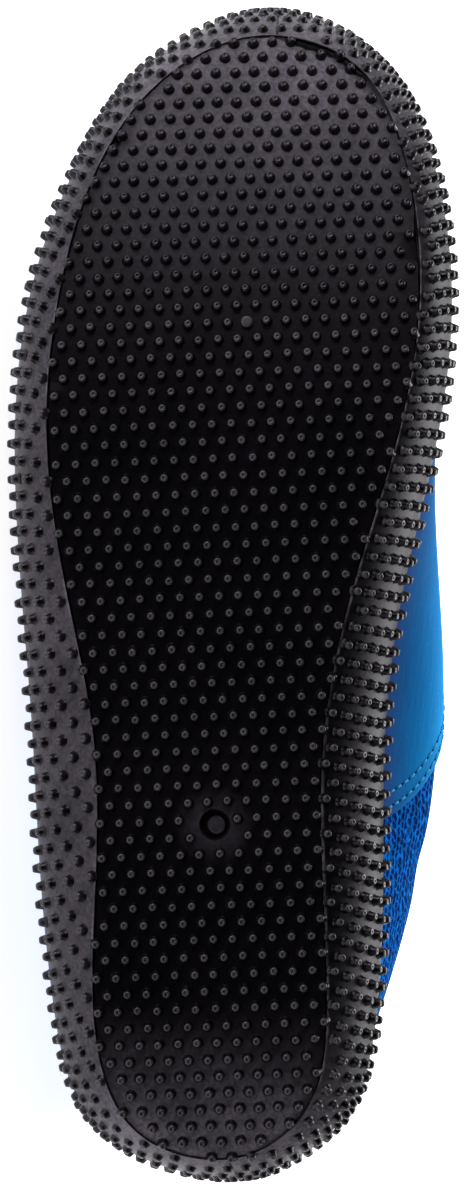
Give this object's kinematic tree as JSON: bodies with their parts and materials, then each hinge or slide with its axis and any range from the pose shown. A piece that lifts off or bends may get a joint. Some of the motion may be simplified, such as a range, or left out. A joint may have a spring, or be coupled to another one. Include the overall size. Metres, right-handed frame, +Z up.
{
  "type": "water shoe",
  "caption": "Right water shoe lying on its outer side: black studded rubber cup sole, blue knit upper with a smooth midfoot panel, bound collar.",
  "frame": {"origin": "centre of the bounding box at the floor that the shoe lies on", "axes": "the shoe lies on its outer side: the toe points to -X, the sole faces -Y and somewhat up, the inner side of the foot is up along +Z, and +X is the direction of the longest extent"},
  "size_m": [0.2746, 0.1024, 0.0945],
  "materials": {
    "black_rubber": "moulded rubber, satin",
    "blue_knit": "coarse knit with lighter blue ribs, matt",
    "blue_smooth": "smooth coated cloth, soft gloss",
    "blue_binding": "woven tape, matt",
    "grey_foam": "cloth on foam, matt"
  },
  "bodies": {
    "root": {"outsole": "black_rubber", "upper": "blue_knit", "midfoot_panel": "blue_smooth", "collar_binding": "blue_binding", "insole": "grey_foam"}
  },
  "joints": []
}
